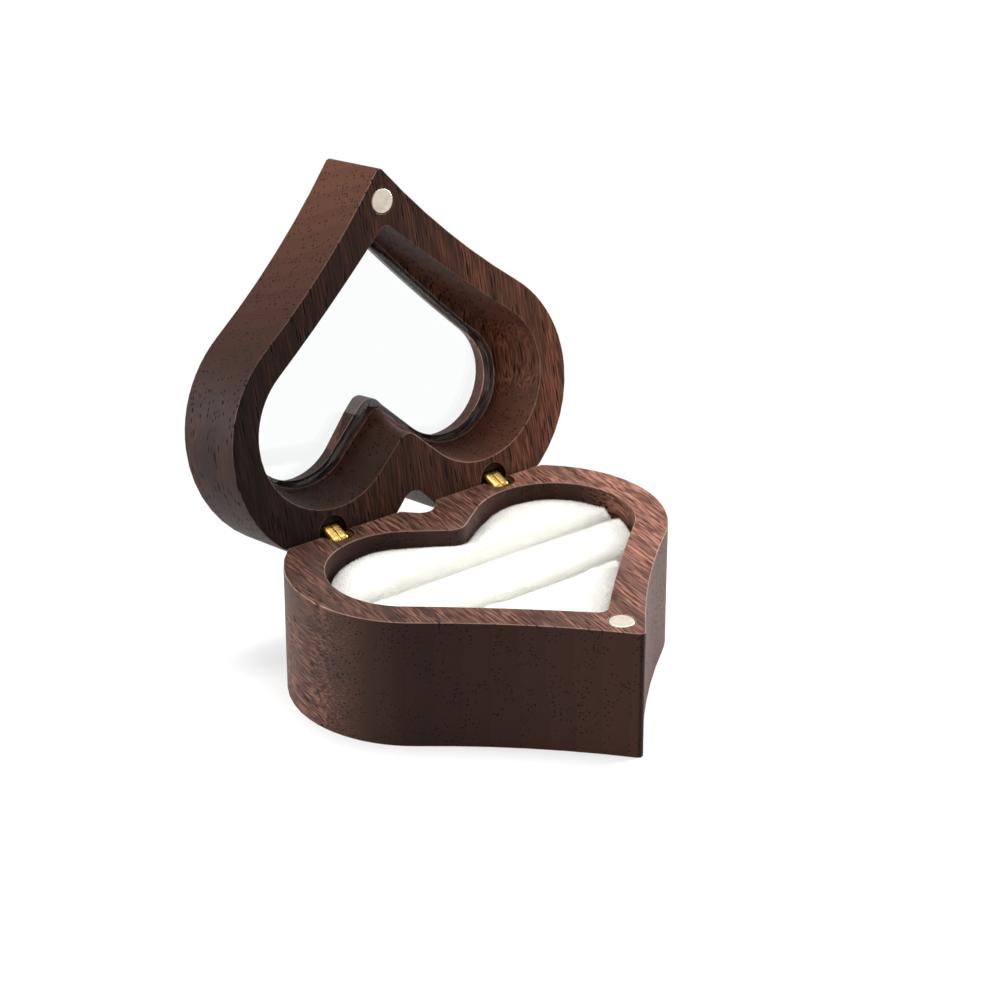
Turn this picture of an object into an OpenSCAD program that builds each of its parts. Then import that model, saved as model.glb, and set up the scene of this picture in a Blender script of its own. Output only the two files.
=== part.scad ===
// Heart-shaped hardwood ring box with a windowed lid, shown open on two barrel hinges.
// Millimetres. Origin at the middle of the underside, +Z up, tip of the heart towards -Y.

/* [Box] */
// Width across the two lobes
box_w = 65; // [60:0.5:72]
// Length from the tip to the back of the lobes
box_l = 60; // [56:0.5:68]
// Height of the base
base_h = 21; // [18:0.5:30]
// Thickness of the lid
lid_h = 13.8; // [12.5:0.1:20]
// Gap left between the two halves when the box is shut
shut_gap = 0.2; // [0.1:0.05:0.4]

/* [Heart outline] */
// Radius of the sides of the lobes
flank_r = 20.4; // [18:0.1:24]
// Radius of the backs of the lobes
shoulder_r = 10.4; // [8:0.1:13]
// Direction in which the flank runs into the shoulder
shoulder_lean = 88; // [80:1:90]
// How far the notch between the lobes reaches in
notch_depth = 7.4; // [5:0.1:9]
// Rounding of the notch between the lobes
notch_r = 2.4; // [1:0.1:3.2]
// Radius of the hollow curve between flank and tip
ogee_r = 135; // [90:5:300]
// Rounding of the tip
tip_r = 0.8; // [0.5:0.1:2]

/* [Base pocket] */
// Wall beside the pocket, at the flanks
pocket_side_wall = 5.3; // [4:0.1:8]
// Wall behind the pocket, at the lobes
pocket_rear_wall = 8.7; // [8:0.1:10]
// Wood between the pocket and the tip
pocket_tip_web = 9; // [8:0.1:12]
// How far the pocket's own notch lies inside the box's notch
pocket_notch_web = 8; // [5:0.1:10]
// Rounding of the pocket's notch
pocket_notch_r = 3; // [1:0.1:4]
// Radius of the sides of the pocket's lobes
pocket_flank_r = 12.7; // [11:0.1:14.5]
// Radius of the backs of the pocket's lobes
pocket_shoulder_r = 13; // [10:0.1:14]
// Radius of the curve between the pocket's flank and tip
pocket_ogee_r = 300; // [150:10:500]
// Rounding of the pocket's tip
pocket_tip_r = 1.5; // [1:0.1:3]
// Thickness of the base's floor
floor_t = 5; // [3:0.5:8]

/* [Lid pocket] */
// Wall beside the lid's pocket, at its face
lid_side_wall = 5; // [4:0.1:7]
// Wall behind the lid's pocket, at its face
lid_rear_wall = 8.8; // [8.2:0.1:11]
// Wood between the lid's pocket and the tip
lid_tip_web = 9.1; // [8:0.1:12]
// How far the lid pocket's notch lies inside the box's notch
lid_notch_web = 9.7; // [8:0.1:11]
// Rounding of the lid pocket's notch
lid_notch_r = 2.2; // [1:0.1:3]
// Radius of the sides of the lid pocket's lobes
lid_flank_r = 13; // [11.5:0.1:14.5]
// Radius of the backs of the lid pocket's lobes
lid_shoulder_r = 12.4; // [10:0.1:13.5]
// Straight part of the pocket's wall, before the cove starts
cove_start = 1.6; // [0.5:0.1:4]
// Depth at which the cove ends on the window seat
seat_depth = 8.4; // [6.5:0.1:9]
// Width of the cove at the lobes' sides
cove_side = 3.2; // [1.5:0.1:4.5]
// Width of the cove at the lobes' backs
cove_rear = 1.7; // [1:0.1:3]
// Width of the cove at the tip
cove_tip = 1.2; // [0.8:0.1:2]
// Width of the cove at the notch
cove_notch = 2.5; // [1.5:0.1:3]
// Rounding of the notch where the cove ends
cove_notch_r = 1.7; // [0.8:0.1:3]
// Radius of the backs of the lobes where the cove ends
cove_shoulder_r = 10.2; // [8.5:0.1:11]

/* [Window] */
// Thickness of the clear pane
pane_t = 1.2; // [0.8:0.1:1.5]
// How far the pane lies behind the end of the cove
pane_recess = 1; // [0.5:0.1:1.2]
// Clearance round the pane in its seat
pane_gap = 0.15; // [0.1:0.05:0.3]
// Width of the ledge that carries the pane
ledge_w = 0.9; // [0.8:0.1:1.4]
// How far the window opens out towards the back of the lid
window_flare = 0.7; // [0.3:0.1:0.8]
// How far the window's tongue reaches in beyond the ledge
window_tongue = 0.5; // [0.2:0.1:1]

/* [Hinges] */
// Distance of each hinge from the middle
hinge_x = 16; // [14:0.5:18]
// How far the barrels stand in front of the rear arris
barrel_setback = 0.4; // [0.3:0.05:0.5]
// How far the rear arris lies in front of the lobes' backs
arris_inset = 4.75; // [4.4:0.05:5.2]
// Slope of the rear bevel of each half
bevel_angle = 49.25; // [45:0.25:55]
// How far the lid leans back on its pins when open
lid_swing = 28.5; // [20:0.5:32]
// How far the links lean back in the base when open
link_swing = 70; // [60:0.5:75]
// Diameter of a barrel
barrel_d = 5.1; // [5:0.1:5.4]
// Length of a barrel
barrel_l = 9; // [7:0.5:10]
// How far the barrels' ends lie below the faces
barrel_sink = 0.45; // [0.2:0.05:0.6]
// Depth of a pin below the face of its half
pin_depth = 1.3; // [1.2:0.05:1.5]
// Diameter of a pin
pin_d = 0.9; // [0.7:0.05:1]
// Width of the slot in a barrel
slot_w = 3.4; // [3:0.1:3.5]
// Clearance beside and round the links
link_gap = 0.08; // [0.05:0.01:0.12]
// Radial clearance of a pin in its links
pin_gap = 0.05; // [0.02:0.01:0.08]

/* [Magnets] */
// Diameter of a magnet
magnet_d = 4; // [3:0.1:4.5]
// Thickness of a magnet
magnet_t = 2; // [1.5:0.5:3]
// Distance of the magnets from the tip
magnet_inset = 5.1; // [4.5:0.1:6]
// Glue gap round what is set into the wood
glue_gap = 0.05; // [0.02:0.01:0.1]

/* [Cushion] */
// Depth of the cushion's edge below the rim
cushion_drop = 1.8; // [1.5:0.1:5]
// Rise of each pad's crown
pad_crown = 0.9; // [0.3:0.1:1.5]
// Place of the front ring slit, behind the middle
front_slit_y = -4.4; // [-8:0.1:-3]
// Place of the rear ring slit, behind the middle
rear_slit_y = 7.6; // [5:0.1:8.5]
// Width of a ring slit between two pads
slit_w = 0.6; // [0.4:0.1:1.2]
// Radius of the rolled edge of a pad
roll_r = 2.2; // [1.5:0.1:2.6]
// How far the sides of a pad draw in
waist_in = 0.4; // [0.2:0.1:0.8]
// Clearance of the soft pads from wood and card
soft_gap = 0.3; // [0.2:0.05:0.5]
// Thickness of the backing card
card_t = 1; // [0.6:0.1:2]

/* [Hidden] */

WALNUT = "#5a3a2c";
VELVET = "#f6f2e6";
BRASS = "#c9a04a";
STEEL = "#c9bfae";
ACRYLIC = "#dce8ec";
CARD = "#8b8275";

through = 1;
far = 1000;
round_fn = 64;
small_fn = 32;
least_r = 0.2;
notch_steps = 5;
shoulder_steps = 14;
flank_steps = 11;
ogee_steps = 6;
tip_steps = 3;
cove_steps = 8;
roll_steps = 4;
pad_rays = 80;
pad_stretch = 1.8;
corner = 14;
magnet_edge = 0.15;
press_gap = 0.01;
tail_edge = 0.4;
groove_count = 3;
groove_pitch = 1.3;
groove_depth = 0.15;

// A heart is [width, tip y, back y, flank r, shoulder r, lean, notch y, ogee r, tip r, notch r].
box_heart = [box_w, -box_l / 2, box_l / 2, flank_r, shoulder_r, shoulder_lean,
    box_l / 2 - notch_depth, ogee_r, tip_r, notch_r];
pocket_heart = [box_w - 2 * pocket_side_wall, -box_l / 2 + pocket_tip_web, box_l / 2 - pocket_rear_wall,
    pocket_flank_r, pocket_shoulder_r, shoulder_lean,
    box_l / 2 - notch_depth - pocket_notch_web, pocket_ogee_r, pocket_tip_r, pocket_notch_r];
lid_heart = [box_w - 2 * lid_side_wall, -box_l / 2 + lid_tip_web, box_l / 2 - lid_rear_wall,
    lid_flank_r, lid_shoulder_r, shoulder_lean,
    box_l / 2 - notch_depth - lid_notch_web, pocket_ogee_r, pocket_tip_r, lid_notch_r];
seat_heart = [lid_heart[0] - 2 * cove_side, lid_heart[1] + cove_tip, lid_heart[2] - cove_rear,
    lid_heart[3] - cove_side, cove_shoulder_r, shoulder_lean,
    lid_heart[6] - cove_notch, pocket_ogee_r, pocket_tip_r, cove_notch_r];

arris_y = box_l / 2 - arris_inset;
hinge_y = arris_y - barrel_setback;
base_pin_z = base_h - pin_depth;
pin_span = 2 * pin_depth + shut_gap;
link_r = pin_depth - 2 * link_gap;
link_t = (slot_w - 3 * link_gap) / 2;
slot_depth = pin_depth + link_r + 2 * link_gap;
slot_front = link_r + 2 * link_gap;
pin_l = barrel_d - 0.3;
magnet_y = magnet_inset - box_l / 2;
pane_z = -seat_depth - pane_recess - pane_t;

card_z = floor_t;
pad_z = card_z + card_t + soft_gap;
pad_edge_z = base_h - cushion_drop;

// One of the two points where two circles cross, left (side 1) or right (side -1) of the line c0-c1
function circles_meet(c0, r0, c1, r1, side) =
    let (d = c1 - c0, dist = norm(d), u = d / dist)
    let (a = (r0 * r0 - r1 * r1 + dist * dist) / (2 * dist))
    let (h = sqrt(max(r0 * r0 - a * a, 0)))
    c0 + u * a + side * h * [-u.y, u.x];

function angle_of(v) = atan2(v.y, v.x);

// Points on an arc, without its last one
function arc(c, r, from, to, steps) =
    [for (i = [0:steps - 1]) let (a = from + (to - from) * i / steps) c + r * [cos(a), sin(a)]];

// Right half of a heart, from the notch round the lobe to the tip: five arcs and one line, all tangent
function half_heart(h) =
    let (lean = [cos(h[5]), sin(h[5])])
    let (c_shoulder = [h[0] / 2 - h[3] + (h[3] - h[4]) * lean.x, h[2] - h[4]])
    let (c_flank = c_shoulder - (h[3] - h[4]) * lean)
    let (c_notch = [0, h[6] + h[9]], c_tip = [0, h[1] + h[8]], across = c_shoulder - c_notch)
    let (c_ogee = circles_meet(c_tip, h[8] + h[7], c_flank, h[3] + h[7], -1))
    let (a_notch = angle_of(across) - acos(min((h[9] + h[4]) / norm(across), 1)))
    let (a_flank = angle_of(c_ogee - c_flank))
    let (a_ogee = angle_of(c_flank - c_ogee), a_tip = angle_of(c_tip - c_ogee))
    concat(
        arc(c_notch, h[9], -90, a_notch, notch_steps),
        [c_notch + h[9] * [cos(a_notch), sin(a_notch)]],
        arc(c_shoulder, h[4], a_notch + 180, h[5], shoulder_steps),
        arc(c_flank, h[3], h[5], 0, flank_steps),
        arc(c_flank, h[3], 0, a_flank, flank_steps),
        arc(c_ogee, h[7], a_ogee, a_tip, ogee_steps),
        arc(c_tip, h[8], a_tip - 180, -90, tip_steps),
        [[0, h[1]]]
    );

// Whole outline of a heart, clockwise seen from above
function heart(h) =
    let (half = half_heart(h), n = len(half))
    concat(half, [for (i = [n - 2:-1:1]) [-half[i].x, half[i].y]]);

// The same heart, drawn in all round by a gap
function inset_heart(h, gap) =
    [h[0] - 2 * gap, h[1] + gap, h[2] - gap, h[3] - gap, h[4] - gap, h[5], h[6] - gap,
        h[7] + gap, max(h[8] - gap, least_r), h[9] + gap];

// An outline as a ring at one height
function ring(points, z) = [for (p = points) [p.x, p.y, z]];

// Closed solid through rings that climb from the first to the last, each clockwise seen from above
module loft(rings) {
    n = len(rings[0]);
    last = len(rings) - 1;
    sides = [for (k = [0:last - 1], i = [0:n - 1])
        let (j = (i + 1) % n)
        each [[k * n + j, (k + 1) * n + j, (k + 1) * n + i], [k * n + j, (k + 1) * n + i, k * n + i]]];
    polyhedron(
        points = [for (r = rings) each r],
        faces = concat([[for (i = [n - 1:-1:0]) i]], [[for (i = [0:n - 1]) last * n + i]], sides)
    );
}

// Everything behind the rear bevel of a half whose face lies at z = 0
module bevel_cut() {
    reach = box_l;
    rotate([90, 0, 90])
        linear_extrude(box_w + 2 * through, center = true)
            polygon([
                [arris_y, 0],
                [arris_y + reach, -reach * tan(bevel_angle)],
                [arris_y + reach, through],
                [arris_y, through]
            ]);
}

// Blind holes in the face of a half: one for its magnet and two for its barrels
module face_holes() {
    translate([0, magnet_y, -magnet_t - glue_gap])
        cylinder(d = magnet_d + 2 * glue_gap, h = magnet_t + glue_gap + through, $fn = round_fn);
    bore_depth = barrel_sink + barrel_l + glue_gap;
    for (x = [-hinge_x, hinge_x])
        translate([x, hinge_y, -bore_depth])
            cylinder(d = barrel_d + 2 * glue_gap, h = bore_depth + through, $fn = round_fn);
}

// Magnet let in flush with the face at z = 0
module magnet() {
    translate([0, magnet_y, -magnet_t])
        rotate_extrude($fn = round_fn)
            polygon([
                [0, 0],
                [magnet_d / 2, 0],
                [magnet_d / 2, magnet_t - magnet_edge],
                [magnet_d / 2 - magnet_edge, magnet_t],
                [0, magnet_t]
            ]);
}

// Hinge barrel let in below the face at z = 0, its slot open towards the bevel
module barrel(x) {
    r = barrel_d / 2;
    difference() {
        translate([x, hinge_y, -barrel_sink - barrel_l])
            rotate_extrude($fn = round_fn)
                polygon(concat(
                    [[0, 0], [r - tail_edge, 0], [r, tail_edge]],
                    [for (i = [1:groove_count])
                        let (z = i * groove_pitch)
                        each [[r, z], [r - groove_depth, z + groove_depth],
                            [r - groove_depth, z + 2 * groove_depth], [r, z + 3 * groove_depth]]],
                    [[r, barrel_l], [0, barrel_l]]
                ));
        bevel_cut();
        translate([x - slot_w / 2, hinge_y - slot_front, -slot_depth])
            cube([slot_w, slot_front + barrel_d, slot_depth + through]);
        translate([x, hinge_y, -pin_depth])
            rotate([0, 90, 0])
                cylinder(d = pin_d + 2 * press_gap, h = barrel_d + through, center = true, $fn = small_fn);
    }
}

// Pin across the cheeks of a barrel whose face lies at z = 0
module pin(x) {
    translate([x, hinge_y, -pin_depth])
        rotate([0, 90, 0])
            cylinder(d = pin_d, h = pin_l, center = true, $fn = small_fn);
}

// Link plate with round ends, from x0 to x0 + link_t, leaning back in the base's slot
module link(x0) {
    translate([x0, hinge_y, base_pin_z])
        rotate([-link_swing, 0, 0])
            difference() {
                union() {
                    for (z = [0, pin_span])
                        translate([0, 0, z])
                            rotate([0, 90, 0])
                                cylinder(r = link_r, h = link_t, $fn = round_fn);
                    translate([0, -link_r, 0])
                        cube([link_t, 2 * link_r, pin_span]);
                }
                for (z = [0, pin_span])
                    translate([-through, 0, z])
                        rotate([0, 90, 0])
                            cylinder(d = pin_d + 2 * pin_gap, h = link_t + 2 * through, $fn = small_fn);
            }
}

// Stands children on the base's face
module on_base() {
    translate([0, 0, base_h])
        children();
}

// Turns children over, sets them on the base and swings them open about both pins
module on_lid() {
    translate([0, hinge_y, base_pin_z])
        rotate([-link_swing, 0, 0])
            translate([0, 0, pin_span])
                rotate([-lid_swing, 0, 0])
                    translate([0, -hinge_y, -pin_depth])
                        mirror([0, 0, 1])
                            children();
}

module base_block() {
    color(WALNUT)
        difference() {
            linear_extrude(base_h)
                polygon(heart(box_heart));
            on_base() {
                bevel_cut();
                face_holes();
            }
            translate([0, 0, floor_t])
                linear_extrude(base_h)
                    polygon(heart(pocket_heart));
        }
}

// The window's outline a distance inside the seat, its tongue kept at one place
function window_heart(gap) =
    let (h = inset_heart(seat_heart, gap))
    [h[0], h[1], h[2], h[3], h[4], h[5], seat_heart[6] - ledge_w - window_tongue, h[7], h[8], h[9]];

// Pocket of the lid: flared window, cove and straight wall in one climb, and the pane's seat
module lid_hollow() {
    outer = heart(lid_heart);
    inner = heart(seat_heart);
    throat = heart(window_heart(ledge_w));
    back = heart(window_heart(ledge_w - window_flare));
    wall = lid_h + pane_z;
    loft(concat(
        [for (z = [-lid_h - through, pane_z + pane_t / 2])
            ring([for (k = [0:len(throat) - 1])
                throat[k] + (back[k] - throat[k]) * (pane_z - z) / wall], z)],
        [for (i = [0:cove_steps])
            let (a = 90 * i / cove_steps, f = sin(a))
            ring([for (k = [0:len(outer) - 1]) inner[k] + (outer[k] - inner[k]) * f],
                -cove_start - (seat_depth - cove_start) * cos(a))],
        [ring(outer, through)]
    ));
    translate([0, 0, pane_z])
        linear_extrude(-pane_z - 3 * seat_depth / 4)
            polygon(inner);
}

module lid_frame() {
    color(WALNUT)
        on_lid()
            difference() {
                translate([0, 0, -lid_h])
                    linear_extrude(lid_h)
                        polygon(heart(box_heart));
                bevel_cut();
                face_holes();
                lid_hollow();
            }
}

module window_pane() {
    color(ACRYLIC)
        on_lid()
            translate([0, 0, pane_z])
                linear_extrude(pane_t)
                    polygon(heart(inset_heart(seat_heart, pane_gap)));
}

module cushion_card() {
    color(CARD)
        translate([0, 0, card_z])
            linear_extrude(card_t)
                polygon(heart(inset_heart(pocket_heart, soft_gap)));
}

// Distance from c along dir to the outline
function wall_distance(c, dir, outline) =
    min([for (i = [0:len(outline) - 1])
        let (p = outline[i] - c, edge = outline[(i + 1) % len(outline)] - outline[i])
        let (den = cross(dir, edge))
        let (t = den == 0 ? -1 : cross(p, edge) / den, s = den == 0 ? -1 : cross(p, dir) / den)
        t > 0 && s >= 0 && s <= 1 ? t : far]);

// Outline of the pad between two lines across the pocket, its corners rounded, clockwise
function pad_outline(c, y_front, y_rear) =
    let (wall = heart(inset_heart(pocket_heart, soft_gap)))
    [for (i = [0:pad_rays - 1])
        let (a = -360 * (i + 0.5) / pad_rays, v = [pad_stretch * cos(a), sin(a)], dir = v / norm(v))
        let (d_wall = wall_distance(c, dir, wall))
        let (d_line = dir.y > 0 ? (y_rear - c.y) / dir.y : (y_front - c.y) / dir.y)
        c + dir * pow(pow(d_wall, -corner) + pow(d_line, -corner), -1 / corner)];

// The outline moved inwards by a distance along its own normals
function drawn_in(points, inset) =
    [for (i = [0:len(points) - 1])
        let (n = len(points), t = points[(i + 1) % n] - points[(i + n - 1) % n])
        points[i] + inset * [t.y, -t.x] / norm(t)];

// Velvet pad: rounded foot, waist, rolled edge and crowned top
module pad(c, y_front, y_rear) {
    outline = pad_outline(c, y_front, y_rear);
    top = drawn_in(outline, roll_r);
    roll_z = pad_edge_z - roll_r;
    loft(concat(
        [ring(drawn_in(outline, roll_r / 2), pad_z), ring(drawn_in(outline, roll_r / 6), pad_z + roll_r / 3)],
        [ring(drawn_in(outline, waist_in), (pad_z + roll_z) / 2)],
        [for (i = [0:roll_steps])
            let (a = 90 * i / roll_steps)
            ring(drawn_in(outline, roll_r * (1 - cos(a))), roll_z + roll_r * sin(a))],
        [for (s = [0.75, 0.5, 0.25])
            ring([for (p = top) c + s * (p - c)], pad_edge_z + pad_crown * (1 - s * s))]
    ));
}

module cushion_front() {
    color(VELVET)
        pad([0, front_slit_y - 4.5], -far, front_slit_y - slit_w / 2);
}

module cushion_middle() {
    color(VELVET)
        pad([0, (front_slit_y + rear_slit_y) / 2], front_slit_y + slit_w / 2, rear_slit_y - slit_w / 2);
}

module cushion_rear() {
    color(VELVET)
        pad([0, rear_slit_y + 2.5], rear_slit_y + slit_w / 2, far);
}

module base_magnet() {
    color(STEEL) on_base() magnet();
}

module lid_magnet() {
    color(STEEL) on_lid() magnet();
}

module base_barrel(x) {
    color(BRASS) on_base() barrel(x);
}

module lid_barrel(x) {
    color(BRASS) on_lid() barrel(x);
}

module base_pin(x) {
    color(BRASS) on_base() pin(x);
}

module lid_pin(x) {
    color(BRASS) on_lid() pin(x);
}

// One of the two plates side by side in a slot: place 0 is towards -X, place 1 towards +X
module link_plate(x, place) {
    color(BRASS) link(x - slot_w / 2 + link_gap + place * (link_t + link_gap));
}

base_block();
base_magnet();
cushion_card();
cushion_front();
cushion_middle();
cushion_rear();
base_barrel(-hinge_x);  // left_base_barrel
base_barrel(hinge_x);  // right_base_barrel
base_pin(-hinge_x);  // left_base_pin
base_pin(hinge_x);  // right_base_pin
link_plate(-hinge_x, 0);  // left_outer_link
link_plate(-hinge_x, 1);  // left_inner_link
link_plate(hinge_x, 0);  // right_inner_link
link_plate(hinge_x, 1);  // right_outer_link
lid_frame();
window_pane();
lid_magnet();
lid_barrel(-hinge_x);  // left_lid_barrel
lid_barrel(hinge_x);  // right_lid_barrel
lid_pin(-hinge_x);  // left_lid_pin
lid_pin(hinge_x);  // right_lid_pin
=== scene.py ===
"""Looks of a heart-shaped walnut jewellery box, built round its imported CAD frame.

Each sub-assembly is a class that holds its sizes and builds its own pieces, and each finish is a frozen
dataclass that builds one node material. Sizes are in millimetres in the fields and in metres in Blender.
"""

import logging
import math
from dataclasses import dataclass, field, replace
from enum import Enum
from typing import Callable, Dict, Optional, Sequence, Tuple, Union

import bmesh
import bpy
from mathutils import Euler, Matrix, Vector
from mathutils.kdtree import KDTree


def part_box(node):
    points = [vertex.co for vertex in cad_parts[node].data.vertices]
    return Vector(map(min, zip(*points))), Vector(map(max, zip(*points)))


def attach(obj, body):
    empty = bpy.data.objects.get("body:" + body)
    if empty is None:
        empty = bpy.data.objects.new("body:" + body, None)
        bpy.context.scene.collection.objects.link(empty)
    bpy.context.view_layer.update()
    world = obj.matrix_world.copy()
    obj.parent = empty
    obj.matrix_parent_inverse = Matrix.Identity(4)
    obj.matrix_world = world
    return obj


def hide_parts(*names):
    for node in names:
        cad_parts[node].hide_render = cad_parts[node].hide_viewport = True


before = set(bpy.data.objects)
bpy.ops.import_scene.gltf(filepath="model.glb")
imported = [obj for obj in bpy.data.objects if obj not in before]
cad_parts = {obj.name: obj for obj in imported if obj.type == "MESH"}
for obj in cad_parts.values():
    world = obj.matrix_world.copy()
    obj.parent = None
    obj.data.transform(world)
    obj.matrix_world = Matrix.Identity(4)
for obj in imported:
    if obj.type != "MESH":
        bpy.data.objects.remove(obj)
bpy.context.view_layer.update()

LOG = logging.getLogger("walnut_box")
MM = 0.001
PER_MM = 1000.0
WELD = 2e-6  # metres between corners that are one
FLAT = math.radians(0.5)  # bend at an edge that still counts as one plane
WAVE_PERIOD = 2 * math.pi / 20  # width of a Wave texture's band at scale 1
UNIT = (0.0, 1.0)
END_GRAIN = "end_grain"
# Corner attribute that marks where painted shade darkens the lid's window recess
WINDOW_SHADE = "window_shade"

Range = Tuple[float, float]
Triple = Tuple[float, float, float]
Value = Union[bpy.types.NodeSocket, bpy.types.Material, float, int, bool, Tuple[float, ...], Vector]


class Body(Enum):
    """The CAD bodies that pieces ride on."""

    BASE = "base"
    LEFT_LINKS = "left_links"
    RIGHT_LINKS = "right_links"
    LID = "lid"


class Mix(Enum):
    """What a Mix node blends, with the numbers of its two inputs and its output, whose names repeat."""

    FLOAT = (2, 3, 0)
    RGBA = (6, 7, 2)


# Small helpers


def linear(hex_color: str) -> Tuple[float, float, float, float]:
    """Turns an sRGB hex colour, such as "#c58b76", to linear light with an alpha of 1."""
    parts = [int(hex_color[i:i + 2], 16) / 255 for i in (1, 3, 5)]
    red, green, blue = (p / 12.92 if p <= 0.04045 else ((p + 0.055) / 1.055) ** 2.4 for p in parts)
    return red, green, blue, 1.0


def add_node(
    tree: bpy.types.NodeTree,
    kind: str,
    inputs: Optional[Dict[Union[str, int], Value]] = None,
    **settings: Union[str, float, bool],
) -> bpy.types.Node:
    """Adds one node with its settings and links.

    Args:
        tree: The tree that gets the node.
        kind: The node's type.
        inputs: Socket names or numbers, each with a value or the output socket that feeds it.
        settings: Properties of the node itself.

    Returns:
        The new node.
    """
    node = tree.nodes.new(kind)
    for name, value in settings.items():
        setattr(node, name, value)
    for key, value in (inputs or {}).items():
        if isinstance(value, bpy.types.NodeSocket):
            tree.links.new(value, node.inputs[key])
        else:
            node.inputs[key].default_value = value
    return node


def calculate(tree: bpy.types.NodeTree, operation: str, *terms: Value) -> bpy.types.NodeSocket:
    """Adds one sum on numbers.

    Args:
        tree: The tree that gets the node.
        operation: The Math node's operation.
        terms: Its values or the sockets that feed them.

    Returns:
        The result.
    """
    return add_node(tree, "ShaderNodeMath", dict(enumerate(terms)), operation=operation).outputs[0]


def remap(
    tree: bpy.types.NodeTree, value: Value, source: Range, target: Range = UNIT, smooth: bool = False
) -> bpy.types.NodeSocket:
    """Stretches one range of a number over another, and holds it at the ends.

    Args:
        tree: The tree that gets the node.
        value: The number.
        source: The range that it has now.
        target: The range that it gets.
        smooth: Eases in and out at the ends.

    Returns:
        The new number.
    """
    return add_node(tree, "ShaderNodeMapRange", {
        "Value": value, "From Min": source[0], "From Max": source[1], "To Min": target[0], "To Max": target[1],
    }, interpolation_type="SMOOTHSTEP" if smooth else "LINEAR").outputs[0]


def mixed(
    tree: bpy.types.NodeTree, factor: Value, first: Value, second: Value, kind: Mix = Mix.RGBA
) -> bpy.types.NodeSocket:
    """Blends two colours or two numbers.

    Args:
        tree: The tree that gets the node.
        factor: 0 for the first, 1 for the second.
        first: The first value.
        second: The second value.
        kind: Whether they are colours or numbers.

    Returns:
        The blend.
    """
    low, high, result = kind.value
    node = add_node(tree, "ShaderNodeMix", {0: factor, low: first, high: second}, data_type=kind.name)
    return node.outputs[result]


def scaled(tree: bpy.types.NodeTree, place: Value, factors: Triple) -> bpy.types.NodeSocket:
    """Multiplies a place by one factor for each axis."""
    return add_node(tree, "ShaderNodeVectorMath", {0: place, 1: factors}, operation="MULTIPLY").outputs[0]


def object_place(tree: bpy.types.NodeTree) -> bpy.types.NodeSocket:
    """The Object coordinates of a material."""
    return add_node(tree, "ShaderNodeTexCoord").outputs["Object"]


def cover(tree: bpy.types.NodeTree, inputs: Dict[Union[str, int], Value]) -> None:
    """Ends a material with a Principled surface that has these inputs."""
    shader = add_node(tree, "ShaderNodeBsdfPrincipled", inputs)
    add_node(tree, "ShaderNodeOutputMaterial", {"Surface": shader.outputs[0]})


def blank_material(name: str) -> Tuple[bpy.types.Material, bpy.types.NodeTree]:
    """Makes an empty node material.

    Args:
        name: The material's name.

    Returns:
        The material and its cleared node tree.
    """
    material = bpy.data.materials.new(name)
    material.use_nodes = True
    material.node_tree.nodes.clear()
    return material, material.node_tree


def new_object(name: str, mesh: bpy.types.Mesh) -> bpy.types.Object:
    """Puts a mesh into the scene as an object at the origin."""
    obj = bpy.data.objects.new(name, mesh)
    bpy.context.scene.collection.objects.link(obj)
    return obj


def baked_mesh(obj: bpy.types.Object) -> bpy.types.Mesh:
    """The object's mesh as its modifiers leave it, as plain data."""
    graph = bpy.context.evaluated_depsgraph_get()
    return bpy.data.meshes.new_from_object(obj.evaluated_get(graph), preserve_all_data_layers=True, depsgraph=graph)


def merged_copy(node: str) -> bpy.types.Mesh:
    """Copies a CAD node's mesh, welds its loose triangles and joins what lies in one plane.

    Args:
        node: Name of the CAD node.

    Returns:
        The new mesh, in the CAD frame.
    """
    mesh = bpy.data.meshes.new(node + "_copy")
    bm = bmesh.new()
    bm.from_mesh(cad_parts[node].data)
    bmesh.ops.remove_doubles(bm, verts=bm.verts, dist=WELD)
    bmesh.ops.dissolve_limit(bm, angle_limit=FLAT, verts=bm.verts, edges=bm.edges)
    bm.to_mesh(mesh)
    bm.free()
    return mesh


def mark_corners(mesh: bpy.types.Mesh, name: str, values: Sequence[float]) -> None:
    """Stores a number at each corner of a mesh, for its material to read.

    Args:
        mesh: The mesh that gets the attribute.
        name: Name of the attribute.
        values: One number for each corner.
    """
    mesh.attributes.new(name, "FLOAT", "CORNER").data.foreach_set("value", list(values))


# Finishes


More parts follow.
